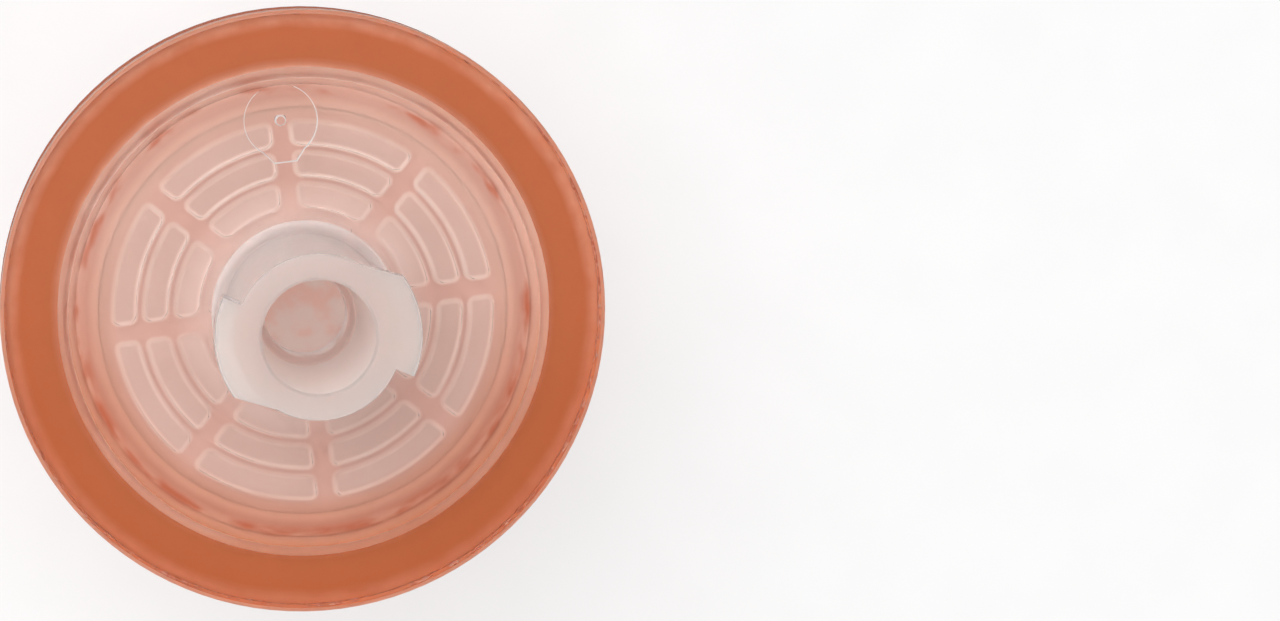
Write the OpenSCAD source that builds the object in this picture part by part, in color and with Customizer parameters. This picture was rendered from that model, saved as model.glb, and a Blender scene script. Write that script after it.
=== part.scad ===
/* [Inlet hub] */
// Outside diameter of the inlet hub
hub_d = 6.3; // [5.8:0.05:6.7]
// Length of the hub, from its mouth to the top of the cover
hub_len = 8.38; // [8:0.02:12]
// Diameter of the tapered socket at its mouth
socket_mouth_d = 4.29; // [4.27:0.005:4.315]
// Depth of the tapered socket
socket_depth = 7.5; // [7.2:0.05:7.8]
// Taper of the socket on its diameter, in percent
socket_taper = 6; // [5:0.5:7]
// Diameter of the passage from the socket to the chamber
passage_d = 3.2; // [2:0.1:3.6]

/* [Locking lugs] */
// Diameter across the two lugs
lug_d = 7.8; // [7.6:0.05:7.85]
// Height of a lug at its middle
lug_h = 1.35; // [1.1:0.05:1.6]
// Lead of the locking thread that the lugs follow, in mm a turn
lug_lead = 5; // [4:0.25:6]
// Angle from the middle of a lug to its blunt end
lug_blunt_angle = 30; // [24:1:34]
// Angle from the middle of a lug to where its tail begins
lug_tail_angle = 28; // [22:1:32]

/* [Disc] */
// Diameter of the cover's flange
flange_d = 23.4; // [22.8:0.1:26]
// Diameter of the outlet body's rim
rim_d = 23.34; // [22.8:0.02:23.4]
// Thickness of the cover's flange at its edge
flange_t = 0.93; // [0.8:0.01:1.4]
// Height of the rim of the outlet body
rim_t = 1.57; // [1.4:0.01:2]
// Gap between flange and rim at the weld
weld_gap = 0.41; // [0.3:0.01:0.6]
// Depth of the weld groove in from the rim
weld_groove = 0.17; // [0.1:0.01:0.4]

/* [Cover] */
// Diameter of the cover's raised face
face_d = 18.28; // [17.6:0.02:18.6]
// Height of the raised face above the flange, with a 45 degree edge
face_h = 0.36; // [0.2:0.02:0.6]
// Thickness of the cover behind its raised face
cover_t = 0.92; // [0.8:0.02:1.1]
// Diameter of the chamber over the membrane
chamber_d = 17.6; // [17.4:0.1:18.2]
// Diameter of the ring that pinches the membrane
pinch_d = 16.2; // [16.1:0.1:16.4]

/* [Flow pads] */
// Number of radial channels between the pads
channels = 8; // [6:1:9]
// Width of a radial channel
channel_w = 0.77; // [0.6:0.01:0.9]
// Number of rings of pads
pad_rings = 4; // [3:1:4]
// Radius of the outermost ring of pads, at its middle
pad_outer_r = 6.91; // [6.7:0.01:7]
// Distance from one ring of pads to the next
pad_pitch = 1.21; // [1.15:0.01:1.22]
// Width of a pad
pad_w = 0.89; // [0.7:0.01:0.95]
// Height of a pad
pad_h = 0.37; // [0.2:0.01:0.4]
// Size of a pad's cut corners
pad_corner = 0.2; // [0.1:0.01:0.25]

/* [Membrane] */
// Diameter of the membrane
membrane_d = 17; // [16.9:0.1:17.2]
// Thickness of the membrane
membrane_t = 0.15; // [0.1:0.01:0.15]

/* [Outlet body] */
// Diameter of the body where its underside begins to slope
slope_top_d = 19.54; // [19:0.02:20]
// Height of the sloped step, at 49 degrees
slope_h = 0.53; // [0.4:0.01:0.8]
// Diameter of the boss round the outlet tube
boss_d = 11.4; // [9:0.1:13]
// Height of the boss
boss_h = 0.52; // [0.3:0.02:0.8]
// Number of drain rings under the membrane
drain_rings = 6; // [4:1:6]
// Distance from one drain ring to the next
drain_pitch = 1; // [0.9:0.02:1]
// Width of a drain ring
drain_w = 0.6; // [0.4:0.05:0.7]
// Depth of the drain rings
drain_depth = 0.9; // [0.5:0.05:1.1]

/* [Outlet tube] */
// Length of the tube below the boss
tube_len = 10.92; // [8:0.02:14]
// Diameter of the tube at its root
tube_root_d = 2.8; // [2.6:0.05:3.2]
// Diameter of the tube at its tip
tube_tip_d = 2.44; // [2.2:0.02:2.6]
// Diameter of the bore through the tube
bore_d = 1.2; // [0.8:0.05:1.4]

/* [Gates] */
// Diameter of the gate well in the cover
cover_well_d = 2.8; // [2.4:0.05:3]
// Distance of the cover's gate well from the axis
cover_well_r = 7.5; // [7.3:0.05:7.6]
// Reach of the well's neck towards the hub, from the middle of the well
cover_neck = 1.6; // [1.55:0.05:2]
// Diameter of the gate well in the boss
boss_well_d = 3.7; // [3:0.1:4]
// Distance of the boss's gate well from the axis
boss_well_r = 4.95; // [4.6:0.05:5.2]

/* [Hidden] */

$fn = 96;
// Short pieces in each rounded corner of an outline
round_steps = 8;
// How far a cutter runs past the face it cuts
past = 1;

// Levels, down from the mouth of the hub at zero
face_z = -hub_len;
flange_z = face_z - face_h;
flange_low_z = flange_z - flange_t;
weld_z = flange_low_z - weld_gap / 2;
rim_z = flange_low_z - weld_gap;
rim_low_z = rim_z - rim_t;
base_z = rim_low_z - slope_h;
boss_z = base_z - boss_h;
tip_z = boss_z - tube_len;
ceiling_z = face_z - cover_t;
membrane_z = weld_z + membrane_t;

// Radii of the hub and its socket
hub_r = hub_d / 2;
lug_r = lug_d / 2;
socket_low_r = (socket_mouth_d - socket_depth * socket_taper / 100) / 2;
mouth_chamfer = 0.1;
hub_edge_round = 0.1;
hub_root_round = 0.45;

// Radii of the disc
groove_r = rim_d / 2 - weld_groove;
slope_low_r = slope_top_d / 2 - slope_h * 1.17;
boss_low_r = boss_d / 2 - boss_h * 0.4;

// The pinch ring's half width at its root and at its crest
pinch_root = 0.27;
pinch_crest = 0.17;

// How far the cuts of a pad's corners run on past the pad
corner_run = 0.15;

// Lugs: the tail runs down to the hub over this angle
tail_angle = 24;
lug_edge_round = 0.15;
lug_low_round = 0.3;
lug_ramp = atan(lug_lead / (PI * (hub_r + lug_r)));

// Gates: wells are shallow, with the broken gate standing in each, and the cover's has a neck
well_depth = 0.3;
cover_gate_d = 0.55;
neck_w = channel_w * 1.1;
neck_angle = 30;
neck_inset = 0.05;
boss_gate_d = 0.8;
boss_gate_x = 0.42;
boss_well_x = 0.33;
boss_gate_z = boss_z - 0.3;

// Drains: straight ones cross the rings and lead to a sump over the outlet
cross_drain_w = 0.7;
cross_drain_depth = drain_depth + 0.2;
drain_inner_r = 2.05;
cross_drain_r = drain_inner_r + (drain_rings - 1) * drain_pitch;
sump_r = 1.25;
sump_depth = cross_drain_depth + 0.2;
tube_root_round = 0.22;

function unit(v) = v / norm(v);

// The arc of radius r that rounds the corner at b, between a and c
function corner(a, b, c, r) =
    let (
        u = unit(a - b),
        v = unit(c - b),
        half = acos(u * v) / 2,
        middle = b + unit(u + v) * r / sin(half),
        first = b + u * r / tan(half) - middle,
        last = b + v * r / tan(half) - middle,
        start = atan2(first.y, first.x),
        swing = atan2(last.y, last.x) - start,
        turn = swing > 180 ? swing - 360 : swing < -180 ? swing + 360 : swing
    )
    [for (i = [0:round_steps]) let (t = start + turn * i / round_steps) middle + r * [cos(t), sin(t)]];

// An outline from points of [radius, level, corner radius]
function outline(points) =
    let (n = len(points), flat = [for (p = points) [p.x, p.y]])
    [for (i = [0:n - 1])
        each points[i].z > 0
            ? corner(flat[(i + n - 1) % n], flat[i], flat[(i + 1) % n], points[i].z)
            : [flat[i]]];

function polar(r, angle) = r * [cos(angle), sin(angle)];

// The cover and its hub, turned about the axis
cover_outline = outline([
    [socket_mouth_d / 2 + mouth_chamfer, 0, 0],
    [hub_r, 0, hub_edge_round],
    [hub_r, face_z, hub_root_round],
    [face_d / 2, face_z, 0.08],
    [face_d / 2 + face_h, flange_z, 0],
    [flange_d / 2, flange_z, 0.15],
    [flange_d / 2, flange_low_z, 0.08],
    [groove_r, flange_low_z, 0],
    [groove_r, weld_z, 0],
    [chamber_d / 2, weld_z, 0],
    [chamber_d / 2, ceiling_z, 0.15],
    [pinch_d / 2 + pinch_root, ceiling_z, 0],
    [pinch_d / 2 + pinch_crest, membrane_z, 0],
    [pinch_d / 2 - pinch_crest, membrane_z, 0],
    [pinch_d / 2 - pinch_root, ceiling_z, 0],
    [passage_d / 2, ceiling_z, 0.2],
    [passage_d / 2, -socket_depth, 0.1],
    [socket_low_r, -socket_depth, 0.1],
    [socket_mouth_d / 2, -mouth_chamfer, 0]
]);

// The outlet body and its tube, turned about the axis
body_outline = outline([
    [bore_d / 2, weld_z, 0],
    [groove_r, weld_z, 0],
    [groove_r, rim_z, 0],
    [rim_d / 2, rim_z, 0.12],
    [rim_d / 2, rim_low_z, 0.45],
    [slope_top_d / 2, rim_low_z, 0.1],
    [slope_low_r, base_z, 0.1],
    [boss_d / 2, base_z, 0.2],
    [boss_low_r, boss_z, 0.22],
    [tube_root_d / 2, boss_z, tube_root_round],
    [tube_tip_d / 2, tip_z, 0.14],
    [bore_d / 2, tip_z, 0.08]
]);

// A lug seen from above: blunt at one end, with a straight tail at the other
module lug_plan() {
    intersection() {
        circle(lug_r);
        polygon([
            [0, 0],
            polar(2 * lug_r, -lug_blunt_angle),
            polar(2 * lug_r, 0),
            polar(lug_r, lug_tail_angle),
            polar(hub_r, lug_tail_angle + tail_angle),
            polar(hub_r / 2, lug_tail_angle + tail_angle)
        ]);
    }
}

// A collar whose underside is rounded and lies on the thread's ramp
module ramped_collar() {
    rotate([lug_ramp, 0, 0])
        rotate_extrude()
            polygon(outline([
                [0, 3 * lug_h, 0],
                [lug_r + lug_low_round / 3, 3 * lug_h, 0],
                [lug_r + lug_low_round / 3, -lug_h * cos(lug_ramp), lug_low_round],
                [0, -lug_h * cos(lug_ramp), 0]
            ]));
}

// A lug: the ramped collar, cut to the lug's plan and to its height
module lug() {
    intersection() {
        ramped_collar();
        translate([0, 0, -3 * lug_h]) linear_extrude(3 * lug_h) lug_plan();
        rotate_extrude()
            polygon(outline([
                [socket_mouth_d / 2 + mouth_chamfer, 0, 0],
                [lug_r, 0, lug_edge_round],
                [lug_r, -3 * lug_h, 0],
                [socket_mouth_d / 2 + mouth_chamfer, -3 * lug_h, 0]
            ]));
    }
}

// The mirror image of a point across the line at half an angle
function mirrored(p, angle) = [p.x * cos(angle) + p.y * sin(angle), p.x * sin(angle) - p.y * cos(angle)];

// One pad in plan: an arc of a ring, with cut corners and ends that lie along the channels
module pad_plan(r) {
    sector = 360 / channels;
    inner_r = r - pad_w / 2;
    outer_r = r + pad_w / 2;
    edge = channel_w / 2;
    end = [
        [inner_r - corner_run, edge + pad_corner + corner_run],
        [inner_r + pad_corner, edge],
        [outer_r - pad_corner, edge],
        [outer_r + corner_run, edge + pad_corner + corner_run]
    ];
    intersection() {
        difference() {
            circle(outer_r);
            circle(inner_r);
        }
        polygon([
            each end,
            polar(2 * outer_r, sector / 2),
            for (i = [3:-1:0]) mirrored(end[i], sector)
        ]);
    }
}

// All the pads that stand on the cover's ceiling and spread the flow
module pads() {
    translate([0, 0, ceiling_z - pad_h])
        linear_extrude(pad_h + cover_t / 2)
            for (ring = [0:pad_rings - 1], i = [0:channels - 1])
                rotate(i * 360 / channels) pad_plan(pad_outer_r - ring * pad_pitch);
}

// The cover's gate well from above: round, with a neck that narrows towards the hub
module cover_well_plan() {
    shoulder_r = cover_well_d / 2 - neck_inset;
    circle(d = cover_well_d);
    polygon([
        polar(shoulder_r, neck_angle - 180),
        [-neck_w / 2, -cover_neck],
        [neck_w / 2, -cover_neck],
        polar(shoulder_r, -neck_angle)
    ]);
}

module inlet_cover() {
    color([0.87, 0.81, 0.78])
        union() {
            difference() {
                union() {
                    rotate_extrude() polygon(cover_outline);
                    for (turn = [0, 180]) rotate(turn) lug();
                    pads();
                }
                translate([0, cover_well_r, face_z - well_depth])
                    linear_extrude(well_depth + past) cover_well_plan();
            }
            translate([0, cover_well_r, face_z - well_depth - past / 10])
                cylinder(d1 = cover_gate_d, d2 = cover_gate_d * 0.6, h = well_depth * 0.9 + past / 10);
        }
}

module membrane() {
    color([0.97, 0.96, 0.94])
        translate([0, 0, weld_z]) cylinder(d = membrane_d, h = membrane_t);
}

// Drain rings, and the straight drains that lead them to the sump, one under each channel
module drains() {
    for (ring = [0:drain_rings - 1])
        let (r = drain_inner_r + ring * drain_pitch)
            rotate_extrude()
                translate([r - drain_w / 2, weld_z - drain_depth]) square([drain_w, drain_depth + past]);
    for (i = [0:channels - 1])
        rotate(i * 360 / channels)
            translate([0, -cross_drain_w / 2, weld_z - cross_drain_depth])
                cube([cross_drain_r, cross_drain_w, cross_drain_depth + past]);
    translate([0, 0, weld_z - sump_depth]) cylinder(r = sump_r, h = sump_depth + past);
}

module outlet_body() {
    color([0.80, 0.38, 0.18])
        union() {
            difference() {
                rotate_extrude() polygon(body_outline);
                drains();
                translate([boss_well_x, -boss_well_r, boss_z - past])
                    cylinder(d = boss_well_d, h = boss_h + past);
            }
            translate([boss_gate_x, -boss_well_r, boss_gate_z])
                cylinder(d1 = boss_gate_d * 0.8, d2 = boss_gate_d, h = base_z - boss_gate_z + past / 10);
        }
}

inlet_cover();
membrane();
outlet_body();
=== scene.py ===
"""The looks of a syringe filter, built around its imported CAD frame.

The cover and its luer hub are milky natural polypropylene, the outlet body is orange
polypropylene, and a white membrane lies between them. Every length is in metres.
"""

import logging
import math
from dataclasses import dataclass, field
from enum import Enum

import bmesh
import bpy
from mathutils import Matrix, Vector, noise


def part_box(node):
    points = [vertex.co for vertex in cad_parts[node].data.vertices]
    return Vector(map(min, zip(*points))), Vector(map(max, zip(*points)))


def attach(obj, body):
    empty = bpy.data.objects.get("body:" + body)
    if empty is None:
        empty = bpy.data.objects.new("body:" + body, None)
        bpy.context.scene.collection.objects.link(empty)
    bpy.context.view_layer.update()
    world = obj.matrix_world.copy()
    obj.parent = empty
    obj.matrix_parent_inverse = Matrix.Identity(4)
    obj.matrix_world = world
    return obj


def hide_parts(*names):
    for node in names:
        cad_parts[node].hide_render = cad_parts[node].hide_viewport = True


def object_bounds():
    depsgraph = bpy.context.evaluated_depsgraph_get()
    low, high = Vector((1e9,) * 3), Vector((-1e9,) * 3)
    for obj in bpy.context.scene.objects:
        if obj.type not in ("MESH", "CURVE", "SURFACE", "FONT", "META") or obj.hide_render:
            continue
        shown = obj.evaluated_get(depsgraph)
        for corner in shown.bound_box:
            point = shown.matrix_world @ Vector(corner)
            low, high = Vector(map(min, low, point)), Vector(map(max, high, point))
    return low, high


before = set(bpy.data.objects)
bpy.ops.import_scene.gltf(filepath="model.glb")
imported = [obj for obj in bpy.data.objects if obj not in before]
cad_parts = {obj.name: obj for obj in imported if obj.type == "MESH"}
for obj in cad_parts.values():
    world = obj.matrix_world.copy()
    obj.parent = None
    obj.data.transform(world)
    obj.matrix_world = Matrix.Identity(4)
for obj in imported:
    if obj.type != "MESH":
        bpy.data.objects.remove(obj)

CAD_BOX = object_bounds()

MM = 0.001
LOG = logging.getLogger("syringe_filter")

PLASTIC_IOR = 1.49
SKIN_BUMP = 0.01 * MM
FLOOR_GAP = 0.05 * MM
FLANGE_TOP = -8.74 * MM
# The way to the filter's side where the weld and the film are painted deeper in colour:
# painted shade, partly the weld's deeper orange. The other side is painted paler, as if lit.
DEEP_SHADED_SIDE = (-0.13, -0.99, 0.0)

Colour = tuple[float, float, float]
Socket = bpy.types.NodeSocket
Node = bpy.types.Node


def srgb(red: int, green: int, blue: int) -> Colour:
    """Returns the linear colour of an sRGB colour given in steps of 0 to 255."""

    def linear(step: int) -> float:
        """Returns the linear share of one channel."""
        share = step / 255
        return share / 12.92 if share <= 0.04045 else ((share + 0.055) / 1.055) ** 2.4

    return linear(red), linear(green), linear(blue)


# ------------------------------------------------------------------ node graphs


class Graph:
    """A node tree with short calls for the nodes that the finishes share."""

    def __init__(self, tree: bpy.types.NodeTree) -> None:
        """Wraps a node tree.

        Args:
            tree: The tree of a material, a world or a node group.
        """
        self.tree = tree

    def node(self, kind: str, **settings: object) -> Node:
        """Adds a node.

        Args:
            kind: The node's type, such as ShaderNodeMath.
            settings: Properties to set on it.

        Returns:
            The new node.
        """
        made = self.tree.nodes.new(kind)
        for name, value in settings.items():
            setattr(made, name, value)
        return made

    def feed(self, socket: Socket, value: object) -> None:
        """Links a socket to another, or sets its plain value.

        Args:
            socket: The input socket.
            value: An output socket, a number or a colour.
        """
        if isinstance(value, bpy.types.NodeSocket):
            self.tree.links.new(value, socket)
        elif isinstance(value, tuple) and len(value) == 3 and len(socket.default_value) == 4:
            socket.default_value = (*value, 1.0)
        else:
            socket.default_value = value

    def math(self, operation: str, *values: object, clamp: bool = False) -> Socket:
        """Returns the result of a Math node on one to three values."""
        made = self.node("ShaderNodeMath", operation=operation, use_clamp=clamp)
        for socket, value in zip(made.inputs, values):
            self.feed(socket, value)
        return made.outputs[0]

    def mix(self, share: object, first: object, second: object) -> Socket:
        """Returns the colour that lies a share of the way from the first to the second."""
        made = self.node("ShaderNodeMix", data_type="RGBA")
        self.feed(made.inputs["Factor"], share)
        colour_inputs = [s for s in made.inputs if s.type == "RGBA"]
        self.feed(colour_inputs[0], first)
        self.feed(colour_inputs[1], second)
        return next(s for s in made.outputs if s.type == "RGBA")

    def between(self, value: object, low: object, high: object) -> Socket:
        """Returns 0 where the value is at low, 1 where it is at high, and smooth in between."""
        made = self.node("ShaderNodeMapRange", interpolation_type="SMOOTHSTEP", clamp=True)
        self.feed(made.inputs["Value"], value)
        self.feed(made.inputs["From Min"], low)
        self.feed(made.inputs["From Max"], high)
        return made.outputs["Result"]

    def along(self, place: object, way: tuple[float, float, float]) -> Socket:
        """Returns how far a place lies along a direction."""
        made = self.node("ShaderNodeVectorMath", operation="DOT_PRODUCT")
        self.feed(made.inputs[0], place)
        made.inputs[1].default_value = way
        return made.outputs["Value"]

    def ramp(self, value: Socket, stops: list[tuple[float, Colour]],
             reach: tuple[float, float]) -> Socket:
        """Turns a value into a colour.

        Args:
            value: The value to look up.
            stops: Each stop's value and colour, in rising order.
            reach: The least and the greatest value that the ramp spans.

        Returns:
            The colour.
        """
        made = self.node("ShaderNodeValToRGB")
        low, high = reach
        points = made.color_ramp.elements
        while len(points) < len(stops):
            points.new(1.0)
        for point, (place, colour) in zip(points, stops):
            point.position = (place - low) / (high - low)
            point.color = (*colour, 1.0)
        even = self.math("DIVIDE", self.math("SUBTRACT", value, low), high - low, clamp=True)
        self.feed(made.inputs[0], even)
        return made.outputs[0]

    def noise(self, place: object, scale: float, detail: float = 2.0) -> Socket:
        """Returns a noise value of about 0 to 1 at a place, with so many cells a metre."""
        made = self.node("ShaderNodeTexNoise")
        self.feed(made.inputs["Vector"], place)
        self.feed(made.inputs["Scale"], scale)
        self.feed(made.inputs["Detail"], detail)
        return made.outputs["Fac"]

    def bump(self, shader: Node, height: Socket, distance: float) -> None:
        """Bends a shader's normal by a height of 0 to 1 that stands for a distance."""
        made = self.node("ShaderNodeBump")
        made.inputs["Distance"].default_value = distance
        self.feed(made.inputs["Height"], height)
        self.feed(shader.inputs["Normal"], made.outputs["Normal"])

    def use(self, group: bpy.types.NodeTree, **values: object) -> Node:
        """Places a node group and feeds its inputs by name."""
        made = self.node("ShaderNodeGroup", node_tree=group)
        for name, value in values.items():
            self.feed(made.inputs[name.replace("_", " ").title()], value)
        return made


def new_group(name: str, inputs: dict[str, str],
              outputs: dict[str, str]) -> tuple[Graph, Node, Node]:
    """Starts a shader node group.

    Args:
        name: The group's name.
        inputs: The type of each input socket, by its name.
        outputs: The type of each output socket, by its name.

    Returns:
        The group's graph, its input node and its output node.
    """
    tree = bpy.data.node_groups.new(name, "ShaderNodeTree")
    for label, kind in inputs.items():
        tree.interface.new_socket(name=label, in_out="INPUT", socket_type=kind)
    for label, kind in outputs.items():
        tree.interface.new_socket(name=label, in_out="OUTPUT", socket_type=kind)
    graph = Graph(tree)
    return graph, graph.node("NodeGroupInput"), graph.node("NodeGroupOutput")


@dataclass(frozen=True)
class Effects:
    """The node groups that several finishes place, each with its own values."""

    polar: bpy.types.NodeTree
    moulded: bpy.types.NodeTree
    side_and_melt: bpy.types.NodeTree

    @staticmethod
    def build() -> "Effects":
        """Builds the groups once."""
        polar = Effects._polar()
        return Effects(polar, Effects._moulded(), Effects._side_and_melt(polar, Effects._ring()))

    @staticmethod
    def _polar() -> bpy.types.NodeTree:
        """Builds the group that turns a place into its radius, height and share of a turn."""
        graph, start, end = new_group(
            "polar_place",
            {"Place": "NodeSocketVector"},
            {"Radius": "NodeSocketFloat", "Height": "NodeSocketFloat", "Turn": "NodeSocketFloat"},
        )
        split = graph.node("ShaderNodeSeparateXYZ")
        graph.feed(split.inputs[0], start.outputs["Place"])
        x, y, z = split.outputs
        square = graph.math("ADD", graph.math("MULTIPLY", x, x), graph.math("MULTIPLY", y, y))
        graph.feed(end.inputs["Radius"], graph.math("SQRT", square))
        graph.feed(end.inputs["Height"], z)
        graph.feed(end.inputs["Turn"], graph.math("DIVIDE", graph.math("ARCTAN2", y, x), math.tau))
        return graph.tree

    @staticmethod
    def _ring() -> bpy.types.NodeTree:
        """Builds the group that masks a ring between two radii, with soft edges."""
        graph, start, end = new_group(
            "ring_mask",
            {name: "NodeSocketFloat" for name in ("Radius", "Inner", "Outer", "Soft")},
            {"Mask": "NodeSocketFloat"},
        )
        radius, inner, outer, soft = start.outputs[:4]
        rise = graph.between(
            radius, graph.math("SUBTRACT", inner, soft), graph.math("ADD", inner, soft))
        fall = graph.between(
            radius, graph.math("ADD", outer, soft), graph.math("SUBTRACT", outer, soft))
        graph.feed(end.inputs["Mask"], graph.math("MULTIPLY", rise, fall))
        return graph.tree

    @staticmethod
    def _moulded() -> bpy.types.NodeTree:
        """Builds the group for a moulded skin: faintly cloudy, and very finely uneven."""
        graph, start, end = new_group(
            "moulded_skin",
            {"Place": "NodeSocketVector", "Base": "NodeSocketColor", "Cloud": "NodeSocketColor",
             "Amount": "NodeSocketFloat", "Gloss": "NodeSocketFloat", "Wear": "NodeSocketFloat"},
            {"Colour": "NodeSocketColor", "Roughness": "NodeSocketFloat",
             "Height": "NodeSocketFloat"},
        )
        cloud_cells, wear_cells, height_cells = 420.0, 2600.0, 900.0
        place = start.outputs["Place"]
        cloud = graph.between(graph.noise(place, cloud_cells, 3.0), 0.35, 0.75)
        share = graph.math("MULTIPLY", cloud, start.outputs["Amount"])
        colour = graph.mix(share, start.outputs["Base"], start.outputs["Cloud"])
        graph.feed(end.inputs["Colour"], colour)
        fine = graph.noise(place, wear_cells, 4.0)
        uneven = graph.math("MULTIPLY", graph.math("SUBTRACT", fine, 0.5), start.outputs["Wear"])
        roughness = graph.math("ADD", start.outputs["Gloss"], uneven, clamp=True)
        graph.feed(end.inputs["Roughness"], roughness)
        graph.feed(end.inputs["Height"], graph.noise(place, height_cells, 3.0))
        return graph.tree

    @staticmethod
    def _side_and_melt(polar: bpy.types.NodeTree, ring: bpy.types.NodeTree) -> bpy.types.NodeTree:
        """Builds the group for the weld's side that is painted deeper, as painted shade and partly the weld's
        deeper orange, and the long blots of melt inside it.

        Args:
            polar: The group that gives a place's radius.
            ring: The group that masks a ring.

        Returns:
            The group.
        """
        graph, start, end = new_group(
            "weld_side_and_melt",
            {"Place": "NodeSocketVector"},
            {"Side": "NodeSocketFloat", "Melt": "NodeSocketFloat"},
        )
        blots_a_radian, blot_width = 5.0, 0.55 * MM
        place = start.outputs["Place"]
        # Side: 0 where the weld and film are painted paler as if lit, 1 where they are painted deeper as
        # shade.
        side = graph.between(graph.along(place, DEEP_SHADED_SIDE), -4 * MM, 5 * MM)
        radius = graph.use(polar, place=place).outputs["Radius"]
        belt = graph.use(ring, radius=radius, inner=8.5 * MM, outer=8.85 * MM, soft=0.2 * MM)
        split = graph.node("ShaderNodeSeparateXYZ")
        graph.feed(split.inputs[0], place)
        drawn = graph.node("ShaderNodeCombineXYZ")
        for socket, share in zip(drawn.inputs, split.outputs[:2]):
            outward = graph.math("DIVIDE", share, radius)
            graph.feed(socket, graph.math("MULTIPLY", outward, blots_a_radian))
        graph.feed(drawn.inputs[2], graph.math("DIVIDE", radius, blot_width))
        blots = graph.noise(drawn.outputs[0], 1.0, 2.0)
        level = graph.math("MULTIPLY_ADD", side, 0.14, blots)
        melt = graph.math("MULTIPLY", graph.between(level, 0.46, 0.74), belt.outputs["Mask"])
        graph.feed(end.inputs["Side"], side)
        graph.feed(end.inputs["Melt"], melt)
        return graph.tree


def new_material(name: str) -> tuple[bpy.types.Material, Graph, Node, Socket]:
    """Starts a material with one Principled shader.

    Args:
        name: The material's name.

    Returns:
        The material, its graph, its Principled node and the place on the piece.
    """
    material = bpy.data.materials.new(name)
    material.use_nodes = True
    graph = Graph(material.node_tree)
    shader = next(n for n in material.node_tree.nodes if n.type == "BSDF_PRINCIPLED")
    place = graph.node("ShaderNodeTexCoord").outputs["Object"]
    return material, graph, shader, place


def scatter(shader: Node, weight: float, spread: Colour, depth: float) -> None:
    """Lets light scatter inside a piece.

    Args:
        shader: The piece's Principled node.
        weight: The share of the light that scatters.
        spread: How far red, green and blue go, as shares of the depth.
        depth: The greatest distance that light goes.
    """
    shader.inputs["Subsurface Weight"].default_value = weight
    shader.inputs["Subsurface Radius"].default_value = spread
    shader.inputs["Subsurface Scale"].default_value = depth


# --------------------------------------------------------------------- finishes


@dataclass(frozen=True)
class NaturalPolypropylene:
    """Uncoloured polypropylene, from nearly clear where it is thin to milky where it is thick.

    The depth is how far light scatters in it, and mirror dims its reflections. An index of
    refraction close to that of air keeps an upright inner wall from drawing dark lines.
    """

    name: str
    tint: Colour
    haze: Colour
    transmission: float
    roughness: float
    depth: float = 0.8 * MM
    ior: float = PLASTIC_IOR
    mirror: float = 1.0
    cloudiness: float = 0.6
    most_wear: float = 0.06
    spread: Colour = (1.0, 0.9, 0.85)

    def make(self, effects: Effects) -> bpy.types.Material:
        """Returns the material."""
        material, graph, shader, place = new_material(self.name)
        skin = graph.use(effects.moulded, place=place, base=self.tint, cloud=self.haze,
                         amount=self.cloudiness, gloss=self.roughness,
                         wear=min(self.most_wear, self.roughness))
        graph.feed(shader.inputs["Base Color"], skin.outputs["Colour"])
        graph.feed(shader.inputs["Roughness"], skin.outputs["Roughness"])
        graph.bump(shader, skin.outputs["Height"], SKIN_BUMP)
        shader.inputs["Transmission Weight"].default_value = self.transmission
        shader.inputs["IOR"].default_value = self.ior
        shader.inputs["Specular Tint"].default_value = (*[self.mirror] * 3, 1.0)
        scatter(shader, 1.0, self.spread, self.depth)
        return material


@dataclass(frozen=True)
class OrangePolypropylene:
    """Coloured polypropylene that light goes a little way into, with a tone for each height that
    paints in light and shade.
    """

    name: str = "orange_polypropylene"
    reach: tuple[float, float] = (-13.6 * MM, -9.6 * MM)
    # Painted light and shade by height: a little lighter at the top of the rim, and lighter still on the
    # downward-facing slope and boss, against the shade that falls on them.
    painted_light_by_height: list[tuple[float, Colour]] = field(default_factory=lambda: [
        (-13.2 * MM, srgb(222, 112, 48)),
        (-12.5 * MM, srgb(236, 112, 44)),
        (-12.1 * MM, srgb(220, 92, 14)),
        (-11.6 * MM, srgb(206, 82, 8)),
        (-11.2 * MM, srgb(202, 83, 10)),
        (-10.4 * MM, srgb(204, 91, 22)),
    ])
    tint: Colour = srgb(206, 90, 24)
    cloud: Colour = srgb(214, 100, 34)
    seat: Colour = srgb(238, 190, 172)
    roughness: float = 0.25
    cloudiness: float = 0.35
    wear: float = 0.08
    spread: Colour = (1.0, 0.35, 0.15)

    def make(self, effects: Effects, weld_height: float) -> bpy.types.Material:
        """Makes the material, with the membrane's seat on top told apart by its height.

        Args:
            effects: The shared node groups.
            weld_height: The height of the body's top, where the cover is welded on.

        Returns:
            The material.
        """
        material, graph, shader, place = new_material(self.name)
        height = graph.use(effects.polar, place=place).outputs["Height"]
        base = graph.ramp(height, self.painted_light_by_height, self.reach)
        skin = graph.use(effects.moulded, place=place, base=base, cloud=self.cloud,
                         amount=self.cloudiness, gloss=self.roughness, wear=self.wear)
        side_and_melt = graph.use(effects.side_and_melt, place=place).outputs["Melt"]
        seat = graph.mix(side_and_melt, self.seat, self.tint)
        on_top = graph.between(height, weld_height - 0.05 * MM, weld_height - 0.02 * MM)
        graph.feed(shader.inputs["Base Color"], graph.mix(on_top, skin.outputs["Colour"], seat))
        graph.feed(shader.inputs["Roughness"], skin.outputs["Roughness"])
        graph.bump(shader, skin.outputs["Height"], SKIN_BUMP)
        shader.inputs["IOR"].default_value = PLASTIC_IOR
        scatter(shader, 0.35, self.spread, 0.6 * MM)
        return material


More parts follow.
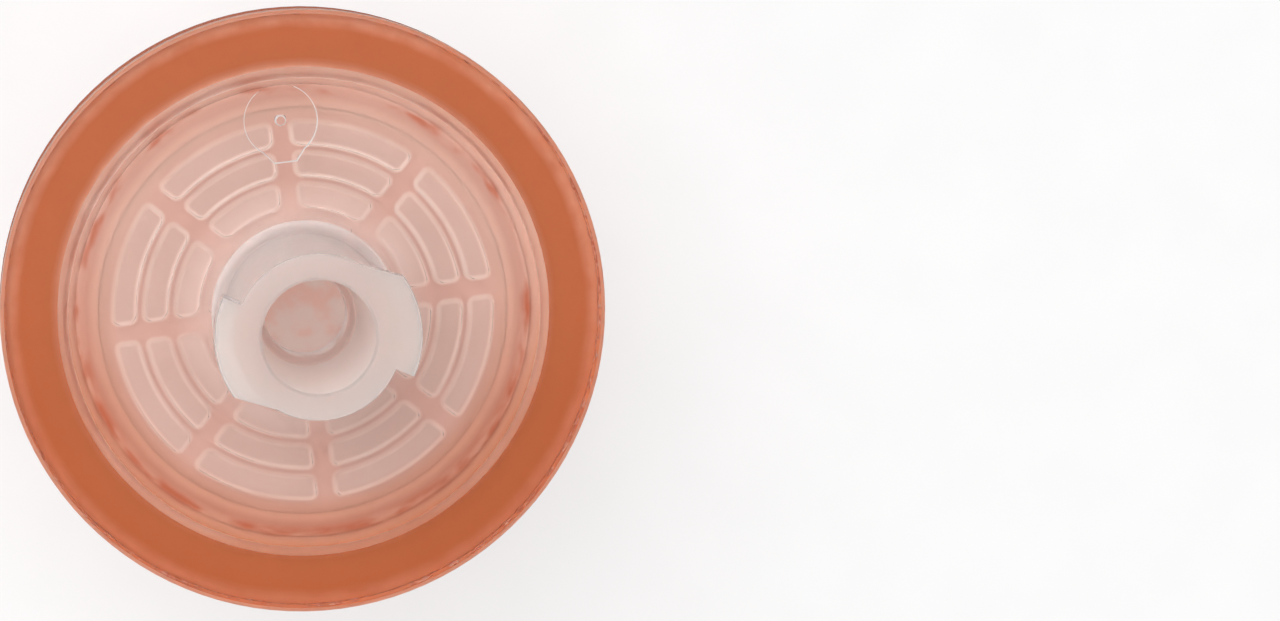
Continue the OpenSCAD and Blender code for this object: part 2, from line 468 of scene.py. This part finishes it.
@dataclass(frozen=True)
class CrumbledWeld:
    """Plastic squeezed out of the weld: pale crumbs of the cover on the body's orange."""

    name: str = "crumbled_weld"
    orange: Colour = srgb(214, 136, 106)
    crumb: Colour = srgb(234, 182, 160)
    grain_cells: float = 4200.0
    spread: Colour = (1.0, 0.5, 0.35)
    bump: float = 0.05 * MM

    def make(self) -> bpy.types.Material:
        """Returns the material."""
        material, graph, shader, place = new_material(self.name)
        stretch = graph.node("ShaderNodeMapping", vector_type="POINT")
        graph.feed(stretch.inputs["Vector"], place)
        stretch.inputs["Scale"].default_value = (1.0, 1.0, 2.0)
        grains = graph.noise(stretch.outputs["Vector"], self.grain_cells, 4.0)
        share = graph.between(grains, 0.42, 0.66)
        graph.feed(shader.inputs["Base Color"], graph.mix(share, self.orange, self.crumb))
        shader.inputs["Roughness"].default_value = 0.5
        scatter(shader, 0.5, self.spread, 0.2 * MM)
        graph.bump(shader, grains, self.bump)
        return material


@dataclass(frozen=True)
class WeldLand:
    """What shows through the cover where it touches the parts below it, with no air between.

    From the middle outwards that is the pinched edge of the membrane, a melted belt, the weld
    itself and its patchy outer edge. One side is painted paler, as if lit, and the other deeper,
    as painted shade and partly the weld's deeper orange. Next to the groove the tones are
    painted lighter against the shade of the weld bead. The tones are set for how they look
    through the cover.
    """

    name: str = "weld_land"
    reach: tuple[float, float] = (7.6 * MM, 11.6 * MM)
    pale: list[tuple[float, Colour]] = field(default_factory=lambda: [
        (7.9 * MM, srgb(240, 198, 182)),
        (8.1 * MM, srgb(240, 197, 180)),
        (8.35 * MM, srgb(228, 180, 164)),
        (8.6 * MM, srgb(229, 181, 165)),
        (8.9 * MM, srgb(242, 199, 182)),
        (9.2 * MM, srgb(254, 208, 188)),
        (9.4 * MM, srgb(250, 200, 176)),
        (9.5 * MM, srgb(232, 160, 130)),
        (9.65 * MM, srgb(218, 138, 102)),
        (9.8 * MM, srgb(213, 125, 84)),
        (10.95 * MM, srgb(212, 124, 83)),
        (11.2 * MM, srgb(214, 124, 82)),
        # Painted light: lighter next to the groove, against the shade of the weld bead.
        (11.5 * MM, srgb(254, 168, 118)),
    ])
    deep: list[tuple[float, Colour]] = field(default_factory=lambda: [
        (7.9 * MM, srgb(231, 172, 148)),
        (8.1 * MM, srgb(231, 171, 147)),
        (8.35 * MM, srgb(218, 154, 131)),
        (8.6 * MM, srgb(226, 163, 140)),
        (8.9 * MM, srgb(232, 170, 143)),
        (9.2 * MM, srgb(230, 158, 125)),
        (9.4 * MM, srgb(225, 142, 104)),
        (9.5 * MM, srgb(219, 133, 94)),
        (9.65 * MM, srgb(214, 128, 89)),
        (9.8 * MM, srgb(210, 121, 79)),
        (10.95 * MM, srgb(209, 120, 77)),
        (11.2 * MM, srgb(210, 120, 77)),
        # Painted light: lighter next to the groove, against the shade of the weld bead.
        (11.5 * MM, srgb(242, 150, 108)),
    ])
    melt: Colour = srgb(208, 118, 88)
    patch_pale: Colour = srgb(244, 178, 148)
    patch_deep: Colour = srgb(230, 148, 112)
    bond_outer: float = 11.1 * MM
    bond_soft: float = 0.25 * MM
    ragged_by: float = 0.16 * MM

    def make(self, effects: Effects) -> bpy.types.Material:
        """Makes the material.

        Args:
            effects: The shared node groups.

        Returns:
            The material.
        """
        material, graph, shader, place = new_material(self.name)
        radius = graph.use(effects.polar, place=place).outputs["Radius"]
        side_and_melt = graph.use(effects.side_and_melt, place=place)
        side = side_and_melt.outputs["Side"]
        wander = graph.math("SUBTRACT", graph.noise(place, 900.0, 3.0), 0.5)
        ragged = graph.math("MULTIPLY_ADD", wander, self.ragged_by, radius)
        pale = graph.ramp(ragged, self.pale, self.reach)
        deep = graph.ramp(ragged, self.deep, self.reach)
        # Paler on the side painted as lit, deeper on the side painted as shade.
        land = graph.mix(side, pale, deep)
        land = graph.mix(side_and_melt.outputs["Melt"], land, self.melt)
        patchy = graph.between(graph.noise(place, 600.0, 3.0), 0.2, 0.7)
        patchy = graph.math("MULTIPLY_ADD", patchy, 0.7, 0.3)
        past_bond = graph.between(
            ragged, self.bond_outer - self.bond_soft, self.bond_outer + self.bond_soft)
        patchy = graph.math("MULTIPLY", patchy, past_bond)
        # The patches too are paler on the side painted as lit and deeper on the shaded side.
        patch = graph.mix(side, self.patch_pale, self.patch_deep)
        graph.feed(shader.inputs["Base Color"], graph.mix(patchy, land, patch))
        shader.inputs["Roughness"].default_value = 0.8
        shader.inputs["Specular IOR Level"].default_value = 0.0
        return material


@dataclass(frozen=True)
class MembraneFilm:
    """The filter membrane: a white film, in the tones that it has under the cover.

    They hold the tint of the orange body below, painted in for its light through the film, and
    painted light: pale highlight lines at the outlines of the pads above, dimmer on the shaded
    side, and lighter tones near the hub and in the passage, against the shade of the hub.
    """

    name: str = "membrane_film"
    under_pads: Colour = srgb(224, 190, 178)
    under_gaps: Colour = srgb(231, 188, 175)
    # Painted light: lighter tones near the hub and in the passage, against the shade of the hub and its bore.
    painted_light_near_hub: Colour = srgb(255, 226, 217)
    painted_light_in_passage: Colour = srgb(255, 237, 228)
    painted_light_in_passage_deep: Colour = srgb(255, 219, 206)
    # Painted highlight: the pale lines at the pads' outlines.
    line: Colour = srgb(253, 229, 218)
    rim_pale: Colour = srgb(234, 196, 180)
    rim_deep: Colour = srgb(220, 164, 141)
    channels: int = 8
    channel_half: float = 0.385 * MM
    pad_rings: int = 4
    pad_outer: float = 6.91 * MM
    pad_pitch: float = 1.21 * MM
    pad_half: float = 0.445 * MM
    pad_corner: float = 0.25 * MM

    def pad_distance(self, graph: Graph, radius: Socket, turn: Socket) -> tuple[Socket, Socket]:
        """Measures a place against the nearest pad.

        Args:
            graph: The material's graph.
            radius: The place's distance from the axis.
            turn: The place's share of a turn.

        Returns:
            How far the place lies outside the pad, or less than 0 inside it, and how far it
            lies towards the pad's outer side, from -1 to 1.
        """
        count = float(self.channels)
        share = graph.math("FRACT", graph.math("MULTIPLY_ADD", turn, count, count))
        nearest = graph.math("MINIMUM", share, graph.math("SUBTRACT", 1.0, share))
        angle = graph.math("MULTIPLY", nearest, math.tau / self.channels)
        aside = graph.math("MULTIPLY", radius, graph.math("SINE", angle))
        past_end = graph.math("SUBTRACT", self.channel_half + self.pad_corner, aside)
        inward = graph.math("SUBTRACT", self.pad_outer, radius)
        ring = graph.math("ROUND", graph.math("DIVIDE", inward, self.pad_pitch))
        ring = graph.math("MINIMUM", graph.math("MAXIMUM", ring, 0.0), self.pad_rings - 1.0)
        middle = graph.math("MULTIPLY_ADD", ring, -self.pad_pitch, self.pad_outer)
        offset = graph.math("SUBTRACT", radius, middle)
        outward = graph.math("MINIMUM", graph.math("DIVIDE", offset, self.pad_half), 1.0)
        outward = graph.math("MAXIMUM", outward, -1.0)
        across = graph.math("ABSOLUTE", offset)
        past_side = graph.math("SUBTRACT", across, self.pad_half - self.pad_corner)
        corner = [graph.math("POWER", graph.math("MAXIMUM", past, 0.0), 2.0)
                  for past in (past_end, past_side)]
        outside = graph.math("SQRT", graph.math("ADD", *corner))
        inside = graph.math("MINIMUM", graph.math("MAXIMUM", past_end, past_side), 0.0)
        return graph.math("SUBTRACT", graph.math("ADD", outside, inside), self.pad_corner), outward

    def make(self, effects: Effects) -> bpy.types.Material:
        """Makes the material.

        Args:
            effects: The shared node groups.

        Returns:
            The material.
        """
        material, graph, shader, place = new_material(self.name)
        polar = graph.use(effects.polar, place=place)
        radius = polar.outputs["Radius"]
        side_and_melt = graph.use(effects.side_and_melt, place=place)
        pores = graph.noise(place, 9000.0, 3.0)
        distance, outward = self.pad_distance(graph, radius, polar.outputs["Turn"])
        beside_pad = graph.between(distance, -0.15 * MM, 0.02 * MM)
        film = graph.mix(beside_pad, self.under_pads, self.under_gaps)
        uneven = graph.between(graph.noise(place, 500.0, 2.0), 0.25, 0.6)
        uneven = graph.math("MULTIPLY_ADD", uneven, 0.25, 0.75)
        # Painted highlight: pale lines at the pads' outlines, brighter where the edge faces downhill, dimmer
        # on the shaded side and uneven at random.
        uphill = graph.math("DIVIDE", graph.along(place, DEEP_SHADED_SIDE), radius)
        gleam = graph.math("MULTIPLY_ADD", graph.math("MULTIPLY", uphill, outward), 0.2, 0.9)
        dim = graph.math("MULTIPLY_ADD", side_and_melt.outputs["Side"], -0.3, 1.0)
        line = graph.between(graph.math("ABSOLUTE", distance), 0.16 * MM, 0.03 * MM)
        strength = graph.math("MULTIPLY", graph.math("MULTIPLY", uneven, dim), gleam)
        line = graph.math("MULTIPLY", line, strength)
        film = graph.mix(line, film, self.line)
        # Paler on the side painted as lit, deeper on the side painted as shade.
        rim = graph.mix(side_and_melt.outputs["Side"], self.rim_pale, self.rim_deep)
        film = graph.mix(graph.between(radius, 7.0 * MM, 8.0 * MM), film, rim)
        # Painted light near the hub, against the shade that the hub casts.
        film = graph.mix(graph.between(radius, 5.5 * MM, 3.0 * MM), film, self.painted_light_near_hub)
        # Painted light in the passage, against the shade in the bore.
        mottled = graph.between(graph.noise(place, 900.0, 2.0), 0.35, 0.65)
        passage = graph.mix(mottled, self.painted_light_in_passage_deep, self.painted_light_in_passage)
        film = graph.mix(graph.between(radius, 1.9 * MM, 1.5 * MM), film, passage)
        graph.feed(shader.inputs["Base Color"], film)
        graph.feed(shader.inputs["Roughness"], graph.math("MULTIPLY_ADD", pores, 0.1, 0.75))
        return material


# ----------------------------------------------------------------------- meshes


def smooth_faces(mesh: bmesh.types.BMesh, sharp: float = math.radians(28)) -> None:
    """Shades a mesh smooth, apart from its sharp edges.

    Args:
        mesh: The mesh.
        sharp: The angle between two faces from which their edge stays sharp.
    """
    for face in mesh.faces:
        face.smooth = True
    for edge in mesh.edges:
        edge.smooth = len(edge.link_faces) == 2 and edge.calc_face_angle(math.pi) < sharp


def merged_copy(node: str, name: str) -> bmesh.types.BMesh:
    """Copies a CAD node's mesh, joins its loose triangles and joins what lies flat.

    Args:
        node: The CAD node.
        name: The name of the piece to come, for the log.

    Returns:
        The mesh, still open for edits.
    """
    mesh = bmesh.new()
    mesh.from_mesh(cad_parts[node].data)
    bmesh.ops.remove_doubles(mesh, verts=mesh.verts, dist=0.0005 * MM)
    flat = math.radians(0.2)
    bmesh.ops.dissolve_limit(mesh, angle_limit=flat, verts=mesh.verts, edges=mesh.edges)
    LOG.info("%s: %d faces from %s", name, len(mesh.faces), node)
    return mesh


def new_object(name: str, data: bpy.types.ID) -> bpy.types.Object:
    """Adds an object to the scene."""
    made = bpy.data.objects.new(name, data)
    bpy.context.scene.collection.objects.link(made)
    return made


def dress_node(node: str, material: bpy.types.Material) -> bpy.types.Object:
    """Gives a CAD node its one material."""
    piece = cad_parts[node]
    piece.data.materials.clear()
    piece.data.materials.append(material)
    return piece


def finish_piece(mesh: bmesh.types.BMesh, name: str, materials: list[bpy.types.Material]) -> bpy.types.Object:
    """Makes a mesh an object that rides on the filter's one body.

    Args:
        mesh: The finished mesh, which is freed.
        name: The piece's name.
        materials: Its materials, in the order of the faces' material indices.

    Returns:
        The new object.
    """
    data = bpy.data.meshes.new(name)
    mesh.to_mesh(data)
    mesh.free()
    for material in materials:
        data.materials.append(material)
    piece = new_object(name, data)
    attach(piece, "root")
    LOG.info("%s: %d faces", name, len(data.polygons))
    return piece


def radius_of(point: Vector) -> float:
    """Returns a point's distance from the filter's axis."""
    return math.hypot(point.x, point.y)


# --------------------------------------------------------------- sub-assemblies


class CoverZone(Enum):
    """The parts of the cover that look different, in the order of their materials."""

    HUB = 0
    MOUTH = 1
    SOCKET = 2
    PASSAGE = 3
    DECK = 4
    BEVEL = 5
    WELL = 6
    CEILING = 7
    PAD = 8
    WALL = 9
    EDGE = 10
    RIM = 11
    WELD = 12


@dataclass
class InletCover:
    """The welded cover, with its luer hub, its pads and its flange.

    Levels are heights over the cover's lowest face, where it is welded to the body.
    """

    effects: Effects
    crest_level: float = 0.15 * MM
    pad_level: float = 0.205 * MM
    ceiling_level: float = 0.575 * MM
    face_level: float = 1.495 * MM
    socket_level: float = 2.4 * MM
    mouth_level: float = 9.7 * MM
    bore_radius: float = 2.2 * MM
    hub_radius: float = 3.95 * MM
    well_radii: tuple[float, float] = (5.3 * MM, 8.7 * MM)
    pinch_radius: float = 7.8 * MM
    channel_inner: float = 8.3 * MM
    chamber_radius: float = 8.82 * MM
    bevel_radii: tuple[float, float] = (9.1 * MM, 9.55 * MM)
    edge_radius: float = 11.4 * MM
    groove_radius: float = 11.5 * MM
    contact_gap: float = 0.02 * MM
    well_rim: float = 0.2 * MM
    pad_round: float = 0.09 * MM
    near: float = 0.005 * MM
    faces_down: float = -0.9
    faces_up: float = 0.9
    quite_flat: float = 0.9995
    quite_upright: float = 0.3

    def zone(self, face: bmesh.types.BMFace, lowest: float) -> CoverZone:
        """Tells which zone a face of the cover is in.

        Args:
            face: The face.
            lowest: The height of the cover's lowest face.

        Returns:
            The zone.
        """
        level = face.calc_center_median().z - lowest
        slant = face.normal.z
        radius = sum(radius_of(v.co) for v in face.verts) / len(face.verts)
        if level > self.mouth_level and slant > 0.5:
            return CoverZone.MOUTH
        if radius < self.bore_radius and level > self.ceiling_level + self.near:
            return CoverZone.SOCKET if level > self.socket_level else CoverZone.PASSAGE
        top = max(v.co.z for v in face.verts) - lowest
        if top > self.face_level + self.near and radius < self.hub_radius:
            return CoverZone.HUB
        under = level < self.ceiling_level + self.near
        if level < self.near or (self.pinch_radius < radius < self.chamber_radius and under):
            return CoverZone.WELD if slant < self.faces_down else CoverZone.WALL
        if radius > self.edge_radius and slant < self.quite_flat:
            if slant < self.faces_down:
                return CoverZone.WELD
            if radius < self.groove_radius + self.near:
                return CoverZone.WALL
            return CoverZone.EDGE if abs(slant) < self.quite_upright else CoverZone.RIM
        if slant > 0.1 and self.bevel_radii[0] < radius < self.bevel_radii[1]:
            return CoverZone.BEVEL
        if (self.well_radii[0] < radius < self.well_radii[1] and slant < self.faces_up
                and self.face_level - 0.2 * MM < level < self.face_level - self.near):
            return CoverZone.WELL
        if radius < self.pinch_radius and under:
            if abs(level - self.pad_level) < self.near:
                return CoverZone.PAD
            return CoverZone.CEILING if slant < self.faces_down else CoverZone.WALL
        return CoverZone.DECK

    def fill_channel(self, mesh: bmesh.types.BMesh, lowest: float) -> None:
        """Fills the ring channel round the pinched edge, whose walls would draw dark lines.

        Args:
            mesh: The cover's mesh.
            lowest: The height of its lowest face.
        """
        for vert in mesh.verts:
            level = vert.co.z - lowest
            if (self.channel_inner < radius_of(vert.co) < self.chamber_radius
                    and self.crest_level + self.near < level < self.ceiling_level + self.near):
                vert.co.z = lowest + self.crest_level
        mesh.normal_update()

    def finishes(self) -> list[bpy.types.Material]:
        """Returns the materials of the zones, in their order."""
        plastic = NaturalPolypropylene
        finishes = {
            CoverZone.HUB: plastic(
                "milky_hub", srgb(254, 252, 251), srgb(253, 249, 248), 0.6, 0.24, 3 * MM),
            # The pink tints of the mouth and the socket are painted light: the orange body's light that comes
            # up through the hub.
            CoverZone.MOUTH: plastic(
                "hub_mouth", srgb(255, 231, 223), srgb(254, 227, 218), 0.55, 0.35, 3.5 * MM),
            CoverZone.SOCKET: plastic(
                "socket", srgb(255, 222, 213), srgb(254, 217, 207), 0.15, 0.3, 9 * MM),
            CoverZone.PASSAGE: plastic(
                "passage", srgb(254, 244, 240), srgb(253, 241, 236), 0.85, 0.3),
            CoverZone.DECK: plastic(
                "clear_deck", srgb(253, 250, 249), srgb(251, 246, 244), 1.0, 0.12, mirror=0.4),
            CoverZone.BEVEL: plastic(
                "bevel", srgb(254, 242, 235), srgb(248, 208, 190), 0.97, 0.35, 0.3 * MM),
            CoverZone.WELL: plastic(
                "well_rim", srgb(255, 250, 246), srgb(254, 248, 243), 0.3, 0.4, 0.3 * MM),
            CoverZone.CEILING: plastic(
                "ceiling", srgb(253, 246, 243), srgb(252, 243, 239), 1.0, 0.1, mirror=0.4),
            CoverZone.PAD: plastic(
                "pad_faces", srgb(253, 251, 250), srgb(252, 248, 246), 1.0, 0.1, mirror=0.4),
            CoverZone.WALL: plastic(
                "pad_walls", srgb(255, 253, 252), srgb(254, 250, 248), 1.0, 0.0, ior=1.002),
            # The pink and orange tints of the flange's edge and corner are painted light: the orange body's
            # light seen through the flange.
            CoverZone.EDGE: plastic(
                "flange_edge", srgb(252, 219, 205), srgb(249, 210, 195), 0.55, 0.3),
            CoverZone.RIM: plastic(
                "flange_corner", srgb(235, 178, 153), srgb(228, 164, 137), 0.65, 0.45),
            CoverZone.WELD: WeldLand(),
        }
        return [finishes[zone].make(self.effects) for zone in CoverZone]

    @staticmethod
    def edges_between(mesh: bmesh.types.BMesh, *zones: CoverZone) -> list[bmesh.types.BMEdge]:
        """Returns the edges whose two faces are in just these zones."""
        wanted = {zone.value for zone in zones}
        return [edge for edge in mesh.edges if len(edge.link_faces) == 2
                and {face.material_index for face in edge.link_faces} == wanted]

    @staticmethod
    def round_edges(mesh: bmesh.types.BMesh, edges: list[bmesh.types.BMEdge], width: float,
                    material: int) -> None:
        """Rounds edges off.

        Args:
            mesh: The mesh.
            edges: The edges.
            width: How far the rounding reaches from each edge.
            material: The material index of the new faces, or -1 for that of their neighbours.
        """
        bmesh.ops.bevel(mesh, geom=edges, offset=width, offset_type="OFFSET", segments=2,
                        profile=0.5, affect="EDGES", material=material, clamp_overlap=True)

    def build(self) -> bpy.types.Object:
        """Builds the cover from its CAD node, lifted clear of what it is welded to."""
        mesh = merged_copy("inlet_cover", "cover_shell")
        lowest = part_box("inlet_cover")[0].z
        self.fill_channel(mesh, lowest)
        for face in mesh.faces:
            face.material_index = self.zone(face, lowest).value
        well_edges = [
            edge for edge in self.edges_between(mesh, CoverZone.WELL, CoverZone.DECK)
            if all(abs(v.co.z - lowest - self.face_level) < self.near for v in edge.verts)]
        self.round_edges(mesh, well_edges, self.well_rim, CoverZone.WELL.value)
        corners = [
            edge for edge in self.edges_between(mesh, CoverZone.WALL)
            if max(radius_of(v.co) for v in edge.verts) < self.pinch_radius
            and edge.calc_face_angle(0.0) > math.radians(25)]
        self.round_edges(mesh, corners, self.pad_round, -1)
        for level in (0.0, self.crest_level):
            touching = [v for v in mesh.verts if abs(v.co.z - lowest - level) < self.near]
            bmesh.ops.translate(mesh, verts=touching, vec=(0, 0, self.contact_gap))
        smooth_faces(mesh)
        piece = finish_piece(mesh, "cover_shell", self.finishes())
        even = piece.modifiers.new("even_normals", "WEIGHTED_NORMAL")
        even.keep_sharp = True
        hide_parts("inlet_cover")
        return piece


@dataclass
class WeldFlash:
    """The crumbly bead of plastic that the weld squeezed into the groove under the flange."""

    middle_radius: float = 11.56 * MM
    middle_height: float = -9.87 * MM
    half_width: float = 0.08 * MM
    half_height: float = 0.215 * MM
    steps_round: int = 420
    crumble: float = 0.05 * MM
    lump_size: float = 0.35 * MM

    def build(self) -> bpy.types.Object:
        """Builds the bead as a spun ring whose skin is then roughened."""
        mesh = bmesh.new()
        ring = bmesh.ops.create_circle(mesh, segments=12, radius=1.0)["verts"]
        bmesh.ops.scale(mesh, verts=ring, vec=(self.half_width, self.half_height, 1))
        upright = Matrix.Rotation(math.pi / 2, 3, "X")
        bmesh.ops.rotate(mesh, verts=ring, cent=(0, 0, 0), matrix=upright)
        bmesh.ops.translate(mesh, verts=ring, vec=(self.middle_radius, 0, self.middle_height))
        bmesh.ops.spin(mesh, geom=mesh.edges[:], cent=(0, 0, 0), axis=(0, 0, 1), angle=math.tau,
                       steps=self.steps_round, use_merge=True)
        bmesh.ops.remove_doubles(mesh, verts=mesh.verts, dist=0.001 * MM)
        bmesh.ops.recalc_face_normals(mesh, faces=mesh.faces)
        for vert in mesh.verts:
            place = vert.co / self.lump_size
            lump = noise.fractal(place, 0.9, 2.2, 3, noise_basis="PERLIN_ORIGINAL")
            vert.co += vert.normal * lump * self.crumble
        smooth_faces(mesh)
        return finish_piece(mesh, "weld_flash", [CrumbledWeld().make()])


@dataclass
class OutletBody:
    """The orange body with its outlet tube."""

    effects: Effects

    def dress(self) -> bpy.types.Object:
        """Gives the CAD node its finish."""
        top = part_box("outlet_body")[1].z
        return dress_node("outlet_body", OrangePolypropylene().make(self.effects, top))


@dataclass
class Membrane:
    """The membrane between the cover and the body."""

    effects: Effects

    def dress(self) -> bpy.types.Object:
        """Gives the CAD node its finish."""
        return dress_node("membrane", MembraneFilm().make(self.effects))


# ----------------------------------------------------------------------- studio


@dataclass(frozen=True)
class Softbox:
    """A soft rectangular lamp that faces the filter, placed by its turn and its rise in degrees.

    Where it isn't mirrored, gloss doesn't show it, and where it isn't through, clear plastic
    doesn't.
    """

    name: str
    azimuth: float
    elevation: float
    distance: float
    width: float
    height: float
    radiance: float
    mirrored: bool = True
    through: bool = True

    def hang(self, aim: Vector) -> bpy.types.Object:
        """Hangs the lamp.

        Args:
            aim: The point that the lamp faces.

        Returns:
            The lamp's object.
        """
        data = bpy.data.lights.new(self.name, "AREA")
        data.shape = "RECTANGLE"
        data.size = self.width
        data.size_y = self.height
        data.energy = self.radiance * math.pi * self.width * self.height
        lamp = new_object(self.name, data)
        turn, rise = math.radians(self.azimuth), math.radians(self.elevation)
        away = Vector((math.sin(turn) * math.cos(rise), -math.cos(turn) * math.cos(rise),
                       math.sin(rise)))
        lamp.location = aim + away * self.distance
        lamp.rotation_mode = "QUATERNION"
        lamp.rotation_quaternion = away.to_track_quat("Z", "Y")
        lamp.visible_camera = False
        lamp.visible_glossy = self.mirrored
        lamp.visible_transmission = self.through
        return lamp


@dataclass
class Studio:
    """A white room: a pale floor, a white surround and soft lamps.

    The floor glows by a share of its own where it is seen, and far from the filter wholly, so
    that its edge doesn't show and it keeps the shadow near the filter.
    """

    effects: Effects
    floor_size: float = 0.27
    shadow_reach: float = 50 * MM
    glow: float = 0.6
    ambient: float = 0.42
    sheen: float = 0.25
    paper: tuple[Colour, Colour] = (srgb(238, 238, 238), srgb(242, 242, 242))
    lamps: list[Softbox] = field(default_factory=lambda: [
        Softbox("left_softbox", -42, -4, 0.35, 0.25, 0.175, 2.5),
        Softbox("right_softbox", 45, -4, 0.35, 0.24, 0.175, 2.3),
        Softbox("upper_left_softbox", -42, 19, 0.35, 0.25, 0.11, 2.5,
                mirrored=False, through=False),
        Softbox("upper_right_softbox", 45, 19, 0.35, 0.24, 0.11, 2.3,
                mirrored=False, through=False),
        Softbox("back_softbox", 215, 35, 0.40, 0.20, 0.30, 1.6, mirrored=False),
        Softbox("top_softbox", 210, 70, 0.40, 0.30, 0.30, 3.4, mirrored=False),
    ])

    @staticmethod
    def _seen(graph: Graph, path: Node) -> Socket:
        """Returns 1 for rays that show what they hit straight or through a clear piece."""
        straight, through = path.outputs["Is Camera Ray"], path.outputs["Is Transmission Ray"]
        return graph.math("MAXIMUM", straight, through)

    def surround(self) -> None:
        """Makes the world white where it is seen, dim in gloss and a soft light elsewhere."""
        world = bpy.data.worlds.new("white_surround")
        bpy.context.scene.world = world
        world.use_nodes = True
        graph = Graph(world.node_tree)
        background = next(n for n in world.node_tree.nodes if n.type == "BACKGROUND")
        background.inputs["Color"].default_value = (1, 1, 1, 1)
        path = graph.node("ShaderNodeLightPath")
        glossy = path.outputs["Is Glossy Ray"]
        light = graph.math("MULTIPLY_ADD", glossy, self.sheen - self.ambient, self.ambient)
        seen = self._seen(graph, path)
        graph.feed(background.inputs["Strength"], graph.math("MAXIMUM", seen, light))

    def floor(self, level: float) -> bpy.types.Object:
        """Lays the floor.

        Args:
            level: Its height, under the filter's tip.

        Returns:
            The floor's object.
        """
        mesh = bmesh.new()
        bmesh.ops.create_grid(mesh, x_segments=1, y_segments=1, size=self.floor_size / 2)
        bmesh.ops.translate(mesh, verts=mesh.verts, vec=(0, 0, level))
        data = bpy.data.meshes.new("floor")
        mesh.to_mesh(data)
        mesh.free()
        sheet = new_object("floor", data)
        material, graph, shader, place = new_material("white_paper")
        grain = graph.between(graph.noise(place, 300.0, 4.0), 0.3, 0.7)
        graph.feed(shader.inputs["Base Color"], graph.mix(grain, *self.paper))
        shader.inputs["Roughness"].default_value = 0.9
        shader.inputs["Specular IOR Level"].default_value = 0.0
        path = graph.node("ShaderNodeLightPath")
        glossy = path.outputs["Is Glossy Ray"]
        glow = graph.node("ShaderNodeEmission")
        strength = graph.math("MULTIPLY_ADD", glossy, self.sheen - 1.0, 1.0)
        graph.feed(glow.inputs["Strength"], strength)
        blend = graph.node("ShaderNodeMixShader")
        polar = graph.use(self.effects.polar, place=place)
        far = graph.between(polar.outputs["Radius"], self.shadow_reach, self.shadow_reach * 2.5)
        glow_share = graph.math("ADD", graph.math("MULTIPLY", far, 1 - self.glow), self.glow)
        direct = graph.math("MULTIPLY", self._seen(graph, path), glow_share)
        graph.feed(blend.inputs[0], graph.math("MAXIMUM", direct, glossy))
        graph.feed(blend.inputs[1], shader.outputs[0])
        graph.feed(blend.inputs[2], glow.outputs[0])
        output = next(n for n in material.node_tree.nodes if n.type == "OUTPUT_MATERIAL")
        graph.feed(output.inputs["Surface"], blend.outputs[0])
        data.materials.append(material)
        return sheet

    def build(self, aim: Vector, floor_level: float) -> None:
        """Sets up the whole room.

        Args:
            aim: The point that the lamps face.
            floor_level: The height of the floor.
        """
        self.surround()
        self.floor(floor_level)
        for lamp in self.lamps:
            lamp.hang(aim)
        bpy.context.scene.view_settings.view_transform = "Standard"


@dataclass(frozen=True)
class PlanCamera:
    """A long lens that looks down on the inlet side, leaning a little."""

    lens: float = 195.0
    distance: float = 268 * MM
    lean: float = 7.2
    lean_azimuth: float = 113.3
    roll: float = -7.5
    across: float = -0.2623
    up: float = -0.0013

    def place(self, target: Vector) -> bpy.types.Object:
        """Places the camera so that the target lies off the middle of the frame.

        Args:
            target: The point that the camera is measured from.

        Returns:
            The camera's object.
        """
        data = bpy.data.cameras.new("plan_camera")
        data.lens = self.lens
        data.clip_start = 1 * MM
        data.clip_end = 10.0
        camera = new_object("plan_camera", data)
        lean, turn, roll = (math.radians(a) for a in (self.lean, self.lean_azimuth, self.roll))
        back = Vector((math.sin(lean) * math.cos(turn), math.sin(lean) * math.sin(turn),
                       math.cos(lean)))
        right = Vector((math.cos(roll), math.sin(roll), 0))
        right = (right - back * right.dot(back)).normalized()
        look = Matrix((right, back.cross(right), back)).transposed()
        spread = data.sensor_width / self.lens
        aim = Vector((self.across * spread, self.up * spread, -1))
        pan = Vector((0, 0, -1)).rotation_difference(aim).to_matrix()
        turned = (look @ pan.inverted()).to_4x4()
        camera.matrix_world = Matrix.Translation(target + back * self.distance) @ turned
        bpy.context.scene.camera = camera
        return camera


def main() -> None:
    """Builds the filter's looks, its studio and its camera."""
    logging.basicConfig(level=logging.INFO, format="%(name)s: %(message)s")
    effects = Effects.build()
    InletCover(effects).build()
    WeldFlash().build()
    OutletBody(effects).dress()
    Membrane(effects).dress()
    middle = (CAD_BOX[0] + CAD_BOX[1]) / 2
    Studio(effects).build(middle, CAD_BOX[0].z - FLOOR_GAP)
    PlanCamera().place(Vector((0, 0, FLANGE_TOP)))


if __name__ == "__main__":
    main()
